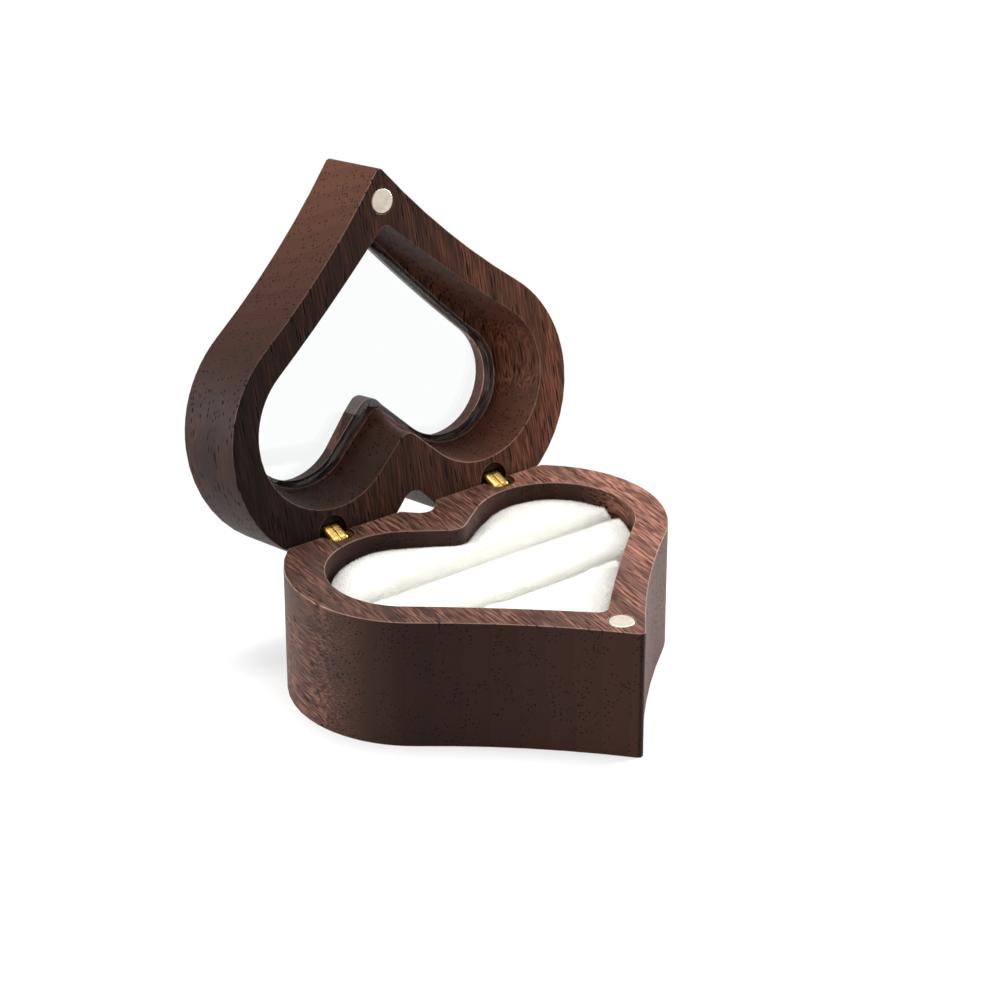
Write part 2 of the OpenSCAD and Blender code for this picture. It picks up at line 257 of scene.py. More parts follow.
@dataclass(frozen=True)
class Walnut:
    """Black walnut, end pores open, fine sanded and oiled.

    The eye gets a warm brown with darker year bands, short dark pore lines along the grain that turn to
    dots where a surface cuts across it, and a soft grey sheen at a low angle.
    """

    name: str
    turn: Triple
    shift: Triple
    # Colours: the fibres, the ground, the dark side of a year band, the streaks and the pores
    pale: str = "#c58b76"
    warm: str = "#69392c"
    dark: str = "#3a2019"
    smoke: str = "#4b3027"
    pore: str = "#190d09"
    # Year bands, fibres and broad streaks, with what is left of the last two on end grain
    year_mm: float = 3.4
    late_wood: float = 0.22
    late_range: Range = (0.35, 1.0)
    fibre_mm: Triple = (0.24, 9.0, 0.3)
    fibre_range: Range = (0.44, 0.61)
    end_fibre: float = 0.3
    streak_mm: Triple = (2.6, 60.0, 5.0)
    streak_range: Range = (0.38, 0.6)
    end_streak: float = 0.35
    veil: float = 0.6
    # Pores: the size of a cell, how much of it is pore, which cells have one, and their clusters
    pore_mm: Triple = (0.42, 5.5, 0.42)
    pore_range: Range = (0.22, 0.38)
    pore_lot: Range = (0.42, 0.52)
    pore_shade: float = 0.88
    cluster_mm: float = 5.0
    cluster_share: float = 0.35
    late_pores: float = -0.24
    pore_cover: float = 0.33
    cover_fade: float = 0.06
    # Where end grain starts, how the grain wanders, and the tone from left to right: partly the plank's own, partly
    # painted shade that darkens the left side
    end_range: Range = (0.22, 0.72)
    warp_mm: float = 3.5
    warp_rate: Triple = (0.05, 0.014, 0.05)
    half_width_mm: float = 34.0
    left_tone_and_shade: float = 0.23
    right_tone_and_light: float = 0.82
    end_tone: float = 0.5
    # Painted edge highlight: how much the edges lift the painted shade of the left side
    edge_highlight_gain: float = 2.2
    # Painted shade: how much darker the lid's window walls and seat are
    window_shading: float = 0.75
    # Surface
    roughness: float = 0.5
    rough_range: Range = (-0.06, 0.1)
    pore_roughness: float = 0.45
    specular: float = 0.17
    relief_mm: float = 0.05
    relief: float = 0.55
    fibre_relief: float = 0.3

    def with_edge_highlight(self) -> "Walnut":
        """The same wood on the broken edges: smoother, and paler as a painted highlight along each edge."""
        return replace(
            self, name=self.name + "_edge", pale="#bb937f", warm="#9a705e", dark="#7a5546", smoke="#9a7a6c",
            pore="#3a241b", roughness=0.36, left_tone_and_shade=self.left_tone_and_shade * self.edge_highlight_gain, end_tone=0.9,
            window_shading=0.1,
        )

    def grain(self) -> Vector:
        """The way the grain runs, in the CAD frame."""
        return Euler([math.radians(a) for a in self.turn]).to_matrix().transposed() @ Vector((0, 1, 0))

    def build(self) -> bpy.types.Material:
        """Builds the node material."""
        material, tree = blank_material(self.name)
        place = self._place(tree)
        ends = add_node(tree, "ShaderNodeAttribute", attribute_name=END_GRAIN).outputs["Fac"]
        cut = remap(tree, ends, self.end_range, smooth=True)
        band, fibre, patch = self._grain(tree, place, cut)
        pores = self._pores(tree, place, band)
        low, high = self.rough_range
        even = remap(tree, fibre, UNIT, (self.roughness + low, self.roughness + high))
        raised = calculate(tree, "MULTIPLY", fibre, self.fibre_relief)
        bump = add_node(tree, "ShaderNodeBump", {
            "Strength": self.relief, "Distance": self.relief_mm * MM,
            "Height": calculate(tree, "MULTIPLY_ADD", pores, -1.0, raised),
        })
        cover(tree, {
            "Base Color": self._color(tree, place, cut, band, fibre, patch, pores),
            "Roughness": calculate(tree, "MULTIPLY_ADD", pores, self.pore_roughness, even),
            "Specular IOR Level": self.specular, "Normal": bump.outputs[0],
        })
        return material

    def _place(self, tree: bpy.types.NodeTree) -> bpy.types.NodeSocket:
        """Object coordinates in millimetres, turned so that the grain runs along Y, and gently warped."""
        place = add_node(tree, "ShaderNodeMapping", {
            "Vector": object_place(tree), "Location": self.shift,
            "Rotation": tuple(math.radians(a) for a in self.turn), "Scale": (PER_MM, PER_MM, PER_MM),
        }).outputs[0]
        wander = add_node(tree, "ShaderNodeTexNoise", {
            "Vector": scaled(tree, place, self.warp_rate), "Scale": 1.0, "Detail": 2.0,
        })
        return add_node(tree, "ShaderNodeVectorMath", {
            0: wander.outputs["Color"], 1: (self.warp_mm, 0.0, self.warp_mm), 2: place,
        }, operation="MULTIPLY_ADD").outputs[0]

    def _grain(
        self, tree: bpy.types.NodeTree, place: bpy.types.NodeSocket, cut: bpy.types.NodeSocket
    ) -> Tuple[bpy.types.NodeSocket, bpy.types.NodeSocket, bpy.types.NodeSocket]:
        """Draws what follows the grain.

        Args:
            tree: The material's tree.
            place: Coordinates in millimetres, with the grain along Y.
            cut: 1 on end grain, where fibres and streaks are calm.

        Returns:
            Year bands, fibres and broad streaks, each from 0 to 1.
        """
        bands = add_node(tree, "ShaderNodeTexWave", {
            "Vector": place, "Scale": WAVE_PERIOD / self.year_mm, "Distortion": 1.1, "Detail": 1.0,
            "Detail Scale": 0.5, "Detail Roughness": 0.4,
        }, wave_type="BANDS", bands_direction="X", wave_profile="SAW")
        calm = []
        for sizes, detail, seen, rest in (
            (self.fibre_mm, 1.5, self.fibre_range, self.end_fibre),
            (self.streak_mm, 1.0, self.streak_range, self.end_streak),
        ):
            noise = add_node(tree, "ShaderNodeTexNoise", {
                "Vector": scaled(tree, place, tuple(1 / size for size in sizes)), "Scale": 1.0, "Detail": detail,
            })
            clear = remap(tree, noise.outputs[0], seen)
            calm.append(mixed(tree, cut, clear, rest, Mix.FLOAT))
        return (bands.outputs["Fac"], *calm)

    def _pores(
        self, tree: bpy.types.NodeTree, place: bpy.types.NodeSocket, band: bpy.types.NodeSocket
    ) -> bpy.types.NodeSocket:
        """Draws the pore lines, which lie in clusters.

        Args:
            tree: The material's tree.
            place: Coordinates in millimetres, with the grain along Y.
            band: The year bands, with fewer pores where they are dark.

        Returns:
            The pores, from 0 to 1.
        """
        cells = add_node(tree, "ShaderNodeTexVoronoi", {
            "Vector": scaled(tree, place, tuple(1 / size for size in self.pore_mm)), "Scale": 1.0,
        })
        line = remap(tree, cells.outputs["Distance"], self.pore_range, (1.0, 0.0), smooth=True)
        across = 1 / self.cluster_mm
        cluster = add_node(tree, "ShaderNodeTexNoise", {
            "Vector": scaled(tree, place, (across, self.cluster_share * across, across)), "Scale": 1.0, "Detail": 2.0,
        })
        where = calculate(tree, "MULTIPLY_ADD", band, self.late_pores, cluster.outputs[0])
        mask = remap(tree, where, (self.pore_cover, self.pore_cover + self.cover_fade))
        lot = add_node(tree, "ShaderNodeSeparateXYZ", {0: cells.outputs["Color"]}).outputs["X"]
        kept = calculate(tree, "MULTIPLY", line, remap(tree, lot, self.pore_lot))
        return calculate(tree, "MULTIPLY", kept, mask)

    def _color(
        self,
        tree: bpy.types.NodeTree,
        place: bpy.types.NodeSocket,
        cut: bpy.types.NodeSocket,
        band: bpy.types.NodeSocket,
        fibre: bpy.types.NodeSocket,
        patch: bpy.types.NodeSocket,
        pores: bpy.types.NodeSocket,
    ) -> bpy.types.NodeSocket:
        """Lays the wood's colours over each other, darker on the left and paler on the right, partly as the plank's
        own tone and partly as painted shade.

        Args:
            tree: The material's tree.
            place: Coordinates in millimetres, with the grain along Y.
            cut: 1 on end grain.
            band: The year bands.
            fibre: The fibres.
            patch: The broad streaks.
            pores: The pores.

        Returns:
            The colour.
        """
        color: Value = linear(self.warm)
        for factor, over in (
            (fibre, self.pale),
            (remap(tree, band, self.late_range, (0.0, self.late_wood)), self.dark),
            (remap(tree, patch, UNIT, (0.0, self.veil)), self.smoke),
            (remap(tree, pores, UNIT, (0.0, self.pore_shade)), self.pore),
        ):
            color = mixed(tree, factor, color, linear(over))
        # Painted shade: the colour is scaled from dark on the left to pale on the right, partly the plank's own tone
        # and partly the fall of light from the right
        across = add_node(tree, "ShaderNodeSeparateXYZ", {0: place}).outputs["X"]
        middle = self.shift[0] + self.warp_mm / 2
        share = remap(tree, across, (middle - self.half_width_mm, middle + self.half_width_mm))
        rise = calculate(tree, "POWER", self.right_tone_and_light / self.left_tone_and_shade, share)
        ends = remap(tree, cut, UNIT, (self.left_tone_and_shade, self.left_tone_and_shade * self.end_tone))
        # Painted shade in the lid's window recess, read from the marked corners
        shaded = add_node(tree, "ShaderNodeAttribute", attribute_name=WINDOW_SHADE).outputs["Fac"]
        unshaded = remap(tree, shaded, UNIT, (1.0, 1 - self.window_shading))
        tone = calculate(tree, "MULTIPLY", calculate(tree, "MULTIPLY", rise, ends), unshaded)
        return add_node(tree, "ShaderNodeVectorMath", {0: color, "Scale": tone}, operation="SCALE").outputs[0]


@dataclass(frozen=True)
class Velvet:
    """Short-pile cotton velvet, woven and brushed.

    The eye gets a cream white with broad soft marks where the nap lies another way, and a pale fuzz at
    its edges.
    """

    name: str = "cream_velvet"
    cream: str = "#eeede7"
    shade: str = "#e9e8e1"
    nap_mm: float = 6.0
    nap_range: Range = (0.55, 0.95)
    pile_mm: float = 0.22
    roughness: Range = (0.85, 1.0)
    depth_mm: float = 3.0
    relief_mm: float = 0.1

    def build(self) -> bpy.types.Material:
        """Builds the node material."""
        material, tree = blank_material(self.name)
        coord = object_place(tree)
        nap = add_node(tree, "ShaderNodeTexNoise", {"Vector": coord, "Scale": PER_MM / self.nap_mm, "Detail": 3.0})
        pile = add_node(tree, "ShaderNodeTexNoise", {
            "Vector": coord, "Scale": PER_MM / self.pile_mm, "Detail": 2.0, "Roughness": 0.7,
        }).outputs[0]
        both = calculate(tree, "MULTIPLY_ADD", pile, 0.5, nap.outputs[0])
        factor = remap(tree, both, self.nap_range)
        bump = add_node(tree, "ShaderNodeBump", {
            "Strength": 0.25, "Distance": self.relief_mm * MM, "Height": pile,
        })
        cover(tree, {
            "Base Color": mixed(tree, factor, linear(self.cream), linear(self.shade)),
            "Roughness": remap(tree, pile, UNIT, self.roughness), "Normal": bump.outputs[0],
            "Specular IOR Level": 0.2, "Sheen Weight": 0.1, "Sheen Roughness": 0.5,
            "Subsurface Weight": 0.85, "Subsurface Radius": (1.0, 1.0, 1.0),
            "Subsurface Scale": self.depth_mm * MM,
        })
        return material


@dataclass(frozen=True)
class Metal:
    """A bare or plated metal with fine tool marks.

    The eye gets a clean highlight that breaks a little along the marks, and a faint second colour in patches,
    tarnished on most parts and painted shade on the lid's dark barrels.
    """

    name: str
    color: str
    patch_color: str
    roughness: float
    marks_mm: Triple
    spread: float = 0.4
    stain_mm: float = 1.4
    stain_range: Range = (0.42, 0.75)
    stain: float = 0.7
    relief_mm: float = 0.004

    def build(self) -> bpy.types.Material:
        """Builds the node material."""
        material, tree = blank_material(self.name)
        coord = object_place(tree)
        marks = add_node(tree, "ShaderNodeTexNoise", {
            "Vector": scaled(tree, coord, tuple(PER_MM / size for size in self.marks_mm)),
            "Scale": 1.0, "Detail": 3.0,
        }).outputs[0]
        patches = add_node(tree, "ShaderNodeTexNoise", {
            "Vector": coord, "Scale": PER_MM / self.stain_mm, "Detail": 3.0,
        })
        stain = remap(tree, patches.outputs[0], self.stain_range, (0.0, self.stain))
        rough = remap(tree, marks, UNIT, (self.roughness * (1 - self.spread), self.roughness * (1 + self.spread)))
        bump = add_node(tree, "ShaderNodeBump", {
            "Strength": 0.5, "Distance": self.relief_mm * MM, "Height": marks,
        })
        cover(tree, {
            "Base Color": mixed(tree, stain, linear(self.color), linear(self.patch_color)), "Metallic": 1.0,
            "Roughness": rough, "Normal": bump.outputs[0],
        })
        return material


@dataclass(frozen=True)
class Acrylic:
    """Cast acrylic sheet, laser cut: clear, with polished faces and the faintest haze."""

    name: str = "clear_acrylic"
    tint: str = "#fbfdfd"
    ior: float = 1.49
    haze_mm: float = 9.0
    haze: float = 0.04

    def build(self) -> bpy.types.Material:
        """Builds the node material."""
        material, tree = blank_material(self.name)
        haze = add_node(tree, "ShaderNodeTexNoise", {
            "Vector": object_place(tree), "Scale": PER_MM / self.haze_mm, "Detail": 2.0,
        })
        cover(tree, {
            "Base Color": linear(self.tint), "IOR": self.ior, "Transmission Weight": 1.0,
            "Roughness": remap(tree, haze.outputs[0], UNIT, (0.0, self.haze)),
        })
        return material


@dataclass(frozen=True)
class Greyboard:
    """Pressed grey bookbinding board: matt, with short paper fibres."""

    name: str = "grey_board"
    color: str = "#8b8275"
    fleck: str = "#6d6459"
    fibre_mm: float = 0.5
    roughness: Range = (0.8, 1.0)
    relief_mm: float = 0.05

    def build(self) -> bpy.types.Material:
        """Builds the node material."""
        material, tree = blank_material(self.name)
        fibres = add_node(tree, "ShaderNodeTexNoise", {
            "Vector": object_place(tree), "Scale": PER_MM / self.fibre_mm, "Detail": 5.0,
        }).outputs[0]
        bump = add_node(tree, "ShaderNodeBump", {
            "Strength": 0.4, "Distance": self.relief_mm * MM, "Height": fibres,
        })
        cover(tree, {
            "Base Color": mixed(tree, fibres, linear(self.color), linear(self.fleck)),
            "Roughness": remap(tree, fibres, UNIT, self.roughness), "Normal": bump.outputs[0],
        })
        return material


# Sub-assemblies


@dataclass
class Dressing:
    """Finishes a rigid CAD node: a welded copy of it with broken edges stands for the node."""

    edge_mm: float = 0.2
    segments: int = 3
    sharp_degrees: float = 30.0
    flat_weight: int = 100

    def dress(
        self, node: str, piece: str, body: Body, material: bpy.types.Material,
        edge: Optional[bpy.types.Material] = None,
        weigh: Optional[Callable[[Vector], float]] = None,
    ) -> bpy.types.Object:
        """Makes the piece that stands for a node.

        Args:
            node: The CAD node.
            piece: Name of the new piece.
            body: The body that it rides on.
            material: Its finish.
            edge: The finish of its broken edges, where that differs.
            weigh: Gives the share of the edge width for an edge from its middle, where it isn't even.

        Returns:
            The finished piece.
        """
        obj = new_object(piece, merged_copy(node))
        obj.data.materials.append(material)
        obj.data.shade_smooth()
        bevel = obj.modifiers.new("broken_edges", "BEVEL")
        bevel.width = self.edge_mm * MM
        bevel.segments = self.segments
        bevel.limit_method = "ANGLE"
        bevel.angle_limit = math.radians(self.sharp_degrees)
        bevel.use_clamp_overlap = False
        bevel.miter_outer = "MITER_SHARP"
        if edge:
            obj.data.materials.append(edge)
            bevel.material = 1
        if weigh:
            bevel.limit_method = "WEIGHT"
            shares = obj.data.attributes.new("bevel_weight_edge", "FLOAT", "EDGE")
            for line in obj.data.edges:
                first, last = (obj.data.vertices[i].co for i in line.vertices)
                shares.data[line.index].value = weigh((first + last) / 2)
        normals = obj.modifiers.new("flat_faces", "WEIGHTED_NORMAL")
        normals.weight = self.flat_weight
        normals.keep_sharp = False
        mesh = baked_mesh(obj)
        obj.modifiers.clear()
        obj.data = mesh
        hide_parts(node)
        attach(obj, body.value)
        LOG.info("%s: %d faces, rides on %s", piece, len(mesh.polygons), body.value)
        return obj


@dataclass
class WoodenHalves:
    """The two walnut halves, with the grain from tip to notch, each from a plank of its own."""

    edge_mm: float = 0.12
    lid_lean: float = 98.5
    # How far the painted shade of the window recess reaches
    shade_reach_mm: float = 3.0
    shade_depth_mm: float = 1.65
    shade_facing: float = 0.9
    base: Walnut = Walnut("walnut_base", turn=(-5.0, 0.0, 8.0), shift=(118.0, 0.0, 14.0))
    # The lid's left side is scaled far darker than its right, partly its own tone and partly painted shade
    lid: Walnut = Walnut(
        "walnut_lid", turn=(95.5, 12.0, 3.0), shift=(-21.0, 40.0, 78.0), pale="#9a6048", warm="#5f3626",
        dark="#2b1811", smoke="#402a1f", year_mm=2.8, pore_cover=0.22, pore_mm=(0.5, 5.5, 0.5),
        left_tone_and_shade=0.062, right_tone_and_light=1.08, end_tone=0.98, specular=0.1,
    )

    def build(self) -> None:
        """Builds both halves."""
        dressing = Dressing(edge_mm=self.edge_mm, segments=2)
        for node, piece, body, wood in (
            ("base_block", "base_wood", Body.BASE, self.base), ("lid_frame", "lid_wood", Body.LID, self.lid),
        ):
            # The broken edges get the wood with a painted highlight
            half = dressing.dress(node, piece, body, wood.build(), wood.with_edge_highlight().build()).data
            grain = wood.grain()
            mark_corners(half, END_GRAIN, [abs(c.vector.dot(grain)) for c in half.corner_normals])
            if node == "lid_frame":
                self._mark_window_shade(half)

    def _mark_window_shade(self, lid: bpy.types.Mesh) -> None:
        """Marks the window's walls and seat, up to the end of the cove, for the painted shade in that recess.

        Args:
            lid: The lid's mesh.
        """
        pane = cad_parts["window_pane"].data.vertices
        tree = KDTree(len(pane))
        for vertex in pane:
            tree.insert(vertex.co, vertex.index)
        tree.balance()
        lean = math.radians(self.lid_lean)
        outward = Vector((0, math.sin(lean), math.cos(lean)))
        middle = sum((v.co for v in pane), Vector()) / len(pane)
        marks = [0.0] * len(lid.loops)
        for face in lid.polygons:
            near = tree.find(face.center)[2] < self.shade_reach_mm * MM
            deep = (face.center - middle).dot(outward) > -self.shade_depth_mm * MM
            if near and deep and face.normal.dot(outward) < self.shade_facing:
                for corner in face.loop_indices:
                    marks[corner] = 1.0
        mark_corners(lid, WINDOW_SHADE, marks)


@dataclass
class Window:
    """The clear pane on the window seat of the lid."""

    edge_mm: float = 0.03

    def build(self) -> None:
        """Builds the pane."""
        Dressing(edge_mm=self.edge_mm, segments=2).dress(
            "window_pane", "pane", Body.LID, Acrylic().build()
        )


@dataclass
class Catch:
    """The two disc magnets that hold the box shut."""

    edge_mm: float = 0.05

    def build(self) -> None:
        """Builds both magnets."""
        nickel = Metal("satin_nickel", "#cfc6b8", "#bbae9a", 0.4, (0.5, 0.5, 0.5)).build()
        dressing = Dressing(edge_mm=self.edge_mm, segments=2)
        dressing.dress("base_magnet", "base_catch_disc", Body.BASE, nickel)
        dressing.dress("lid_magnet", "lid_catch_disc", Body.LID, nickel)


@dataclass
class Hinges:
    """The two barrel hinges: slotted barrels, cross pins and pairs of link plates."""

    edge_mm: float = 0.06
    dome_mm: float = 0.62
    dome_from_mm: float = 1.4
    slit_share: float = 0.22
    slit_to_mm: float = 0.2
    hole_share: float = 0.06
    hole_reach_mm: float = 0.8

    def build(self) -> None:
        """Builds every piece of both hinges."""
        turned = Metal("turned_brass", "#7d6138", "#463320", 0.4, (0.12, 0.12, 1.6))
        # Painted shade: the lid's barrels get a near-black copy of the turned brass for their shadowed bores, and the
        # turned brass is itself darker than the links, partly as painted shade
        bore_shaded = replace(turned, name="bore_shaded_brass", color="#2a2014", patch_color="#120c07", roughness=0.55)
        barrels = {"base": turned.build(), "lid": bore_shaded.build()}
        stamped = Metal("stamped_brass", "#cba95f", "#83593a", 0.3, (1.2, 0.2, 0.2)).build()
        drawn = Metal("drawn_brass", "#c2a264", "#8f7342", 0.3, (2.0, 0.1, 0.1)).build()
        dressing = Dressing(edge_mm=self.edge_mm, segments=2)
        rounded = Dressing(edge_mm=self.dome_mm, segments=4)
        for side, links in (("left", Body.LEFT_LINKS), ("right", Body.RIGHT_LINKS)):
            for half, body in (("base", Body.BASE), ("lid", Body.LID)):
                dressing.dress(f"{side}_{half}_barrel", f"{side}_{half}_barrel_dressed", body, barrels[half])
                dressing.dress(f"{side}_{half}_pin", f"{side}_{half}_pin_dressed", body, drawn)
            pins = [sum(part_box(f"{side}_{half}_pin"), Vector()) / 2 for half in ("base", "lid")]
            for place in ("outer", "inner"):
                rounded.dress(
                    f"{side}_{place}_link", f"{side}_{place}_link_dressed", links, stamped,
                    weigh=lambda middle, pins=pins: self._share(middle, pins),
                )

    def _share(self, middle: Vector, pins: Sequence[Vector]) -> float:
        """How much of the dome's rounding an edge of a link plate gets.

        Args:
            middle: The middle of the edge.
            pins: The middles of the hinge's two pins.

        Returns:
            1 for the outer outline, little for the slit's sides and the pin holes, and else 0.
        """
        if min((middle - pin).yz.length for pin in pins) < self.hole_reach_mm * MM:
            return self.hole_share
        aside = abs(middle.x - pins[0].x) / MM
        if aside > self.dome_from_mm:
            return 1.0
        return self.slit_share if aside < self.slit_to_mm else 0.0


@dataclass
class PileTree:
    """Geometry Nodes that stand short fibres on the upper side of a pad."""

    density_per_mm2: float = 38.0
    length_mm: float = 0.34
    width_mm: float = 0.038
    length_range: Range = (0.55, 1.2)
    tip: float = 0.25
    stray: Triple = (1.0, 1.0, 0.4)
    lean: float = 0.7
    lift: float = 0.5
    lowest_mm: float = 16.5
    seed: int = 7
    sides: int = 3

    def _given(self) -> Dict[str, Union[float, int]]:
        """The tree's inputs, by name."""
        return {
            "Density": self.density_per_mm2 * PER_MM ** 2, "Length": self.length_mm * MM,
            "Width": self.width_mm * MM, "Lean": self.lean, "Lift": self.lift, "Lowest": self.lowest_mm * MM,
            "Seed": self.seed,
        }

    def build(self, material: bpy.types.Material) -> bpy.types.NodeTree:
        """Builds the tree.

        Args:
            material: The finish of the fibres.

        Returns:
            The node group, with named inputs for its sizes.
        """
        tree = bpy.data.node_groups.new("velvet_pile", "GeometryNodeTree")
        face = tree.interface
        face.new_socket("Geometry", in_out="INPUT", socket_type="NodeSocketGeometry")
        for name, value in self._given().items():
            kind = "NodeSocketInt" if isinstance(value, int) else "NodeSocketFloat"
            face.new_socket(name, in_out="INPUT", socket_type=kind)
        face.new_socket("Geometry", in_out="OUTPUT", socket_type="NodeSocketGeometry")
        given = add_node(tree, "NodeGroupInput").outputs
        height = add_node(tree, "ShaderNodeSeparateXYZ", {0: add_node(tree, "GeometryNodeInputPosition").outputs[0]})
        above = add_node(tree, "FunctionNodeCompare", {
            "A": height.outputs["Z"], "B": given["Lowest"],
        }, data_type="FLOAT", operation="GREATER_THAN")
        points = add_node(tree, "GeometryNodeDistributePointsOnFaces", {
            "Mesh": given["Geometry"], "Selection": above.outputs[0], "Density": given["Density"],
            "Seed": given["Seed"],
        }, distribute_method="RANDOM")
        stray = add_node(tree, "FunctionNodeRandomValue", {
            0: tuple(-most for most in self.stray), 1: self.stray, "Seed": given["Seed"],
        }, data_type="FLOAT_VECTOR")
        leant = add_node(tree, "ShaderNodeVectorMath", {
            0: stray.outputs[0], "Scale": given["Lean"],
        }, operation="SCALE")
        raised = add_node(tree, "ShaderNodeCombineXYZ", {"Z": given["Lift"]})
        first = add_node(tree, "ShaderNodeVectorMath", {
            0: points.outputs["Normal"], 1: leant.outputs[0],
        }, operation="ADD")
        way = add_node(tree, "ShaderNodeVectorMath", {0: first.outputs[0], 1: raised.outputs[0]}, operation="ADD")
        turn = add_node(tree, "FunctionNodeAlignRotationToVector", {"Vector": way.outputs[0]}, axis="Z")
        fibre = add_node(tree, "GeometryNodeMeshCone", {
            "Vertices": self.sides, "Radius Top": self.tip, "Radius Bottom": 1.0, "Depth": 1.0,
        }, fill_type="NONE")
        shortest, longest = self.length_range
        vary = add_node(tree, "FunctionNodeRandomValue", {
            2: shortest, 3: longest, "Seed": given["Seed"],
        }, data_type="FLOAT")
        size = add_node(tree, "ShaderNodeCombineXYZ", {
            "X": given["Width"], "Y": given["Width"],
            "Z": calculate(tree, "MULTIPLY", given["Length"], vary.outputs[1]),
        })
        stood = add_node(tree, "GeometryNodeInstanceOnPoints", {
            "Points": points.outputs["Points"], "Instance": fibre.outputs["Mesh"],
            "Rotation": turn.outputs[0], "Scale": size.outputs[0],
        })
        real = add_node(tree, "GeometryNodeRealizeInstances", {0: stood.outputs[0]})
        dressed = add_node(tree, "GeometryNodeSetMaterial", {"Geometry": real.outputs[0], "Material": material})
        add_node(tree, "NodeGroupOutput", {0: dressed.outputs[0]})
        return tree

    def stand_on(self, pad: bpy.types.Object, tree: bpy.types.NodeTree, name: str) -> bpy.types.Object:
        """Grows the fibres on a pad, as a plain mesh of their own.

        Args:
            pad: The finished pad.
            tree: The tree that build() made.
            name: Name of the new piece.

        Returns:
            The fibres.
        """
        carrier = new_object(name, pad.data.copy())
        modifier = carrier.modifiers.new("pile", "NODES")
        modifier.node_group = tree
        sizes = self._given()
        for item in tree.interface.items_tree:
            if item.in_out == "INPUT" and item.name in sizes:
                modifier[item.identifier] = sizes[item.name]
        mesh = baked_mesh(carrier)
        carrier.modifiers.clear()
        carrier.data = mesh
        return carrier


@dataclass
class Cushion:
    """Three velvet pads over foam, on their card, with a slit between each pair."""

    card_edge_mm: float = 0.1
    scale: float = 12.0
    voxel_mm: float = 0.7
    draw_in_mm: float = 0.22
    reach_mm: float = 0.3
    quality: int = 6
    mass: float = 0.3
    stiffness: float = 12.0
    pressure: float = 4.0
    frames: int = 20
    foot_mm: float = 1.0
    fill: float = 0.85
    pads: Sequence[str] = field(default_factory=lambda: ("cushion_front", "cushion_middle", "cushion_rear"))

    def build(self) -> None:
        """Builds the card, the pads and their pile."""
        Dressing(edge_mm=self.card_edge_mm, segments=1).dress(
            "cushion_card", "card", Body.BASE, Greyboard().build()
        )
        velvet = Velvet().build()
        pile = PileTree()
        tree = pile.build(velvet)
        for node in self.pads:
            pad = new_object(node.replace("cushion", "pad"), self._padded(node))
            pad.data.materials.clear()
            pad.data.materials.append(velvet)
            pad.data.shade_smooth()
            fibres = pile.stand_on(pad, tree, node.replace("cushion", "pile"))
            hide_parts(node)
            for piece in (pad, fibres):
                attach(piece, Body.BASE.value)
                LOG.info("%s: %d faces", piece.name, len(piece.data.polygons))

    def _padded(self, node: str) -> bpy.types.Mesh:
        """Puffs a pad's form with a short cloth simulation, and gives it back as a plain mesh.

        Args:
            node: The CAD node of the pad.

        Returns:
            The pad's mesh, in the CAD frame.
        """
        low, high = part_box(node)
        middle = (low + high) / 2
        shrink = Vector(1 - 2 * self.draw_in_mm * MM / (high[i] - low[i]) for i in range(3))
        grow = Matrix.Diagonal((*(shrink * self.scale), 1)) @ Matrix.Translation(-middle)
        work = new_object(node + "_work", merged_copy(node))
        work.data.transform(grow)
        remesh = work.modifiers.new("voxels", "REMESH")
        remesh.mode = "VOXEL"
        remesh.voxel_size = self.voxel_mm * MM * self.scale
        start = baked_mesh(work)
        work.modifiers.clear()
        work.data = start
        self._simulate(work)
        finer = work.modifiers.new("finer", "SUBSURF")
        finer.levels = finer.render_levels = 1
        mesh = baked_mesh(work)
        bpy.data.objects.remove(work)
        mesh.transform(Matrix.Translation(middle) @ Matrix.Diagonal((1 / self.scale,) * 3 + (1.0,)))
        return mesh

    def _simulate(self, work: bpy.types.Object) -> None:
        """Puffs a pad with inner pressure for a few frames, and caps how far that moves each point.

        Args:
            work: The remeshed pad, enlarged, which gets the result as its mesh.
        """
        rest = [v.co.copy() for v in work.data.vertices]
        floor = min(p.z for p in rest)
        foot = work.vertex_groups.new(name="foot")
        foot.add([i for i, p in enumerate(rest) if p.z < floor + self.foot_mm * MM * self.scale], 1.0, "REPLACE")
        cloth = work.modifiers.new("puff", "CLOTH")
        cloth.settings.quality = self.quality
        cloth.settings.mass = self.mass
        cloth.settings.tension_stiffness = cloth.settings.compression_stiffness = self.stiffness
        cloth.settings.use_pressure = True
        cloth.settings.uniform_pressure_force = self.pressure
        cloth.settings.effector_weights.gravity = 0
        cloth.settings.vertex_group_mass = "foot"
        cloth.point_cache.frame_start, cloth.point_cache.frame_end = 1, self.frames
        scene = bpy.context.scene
        for number in range(1, self.frames + 1):
            scene.frame_set(number)
        mesh = baked_mesh(work)
        most = self.reach_mm * MM * self.scale
        for vertex, start in zip(mesh.vertices, rest):
            move = vertex.co - start
            if move.length > most:
                vertex.co = start + move * (most / move.length)
        work.modifiers.clear()
        work.data = mesh
        scene.frame_set(1)


# Studio


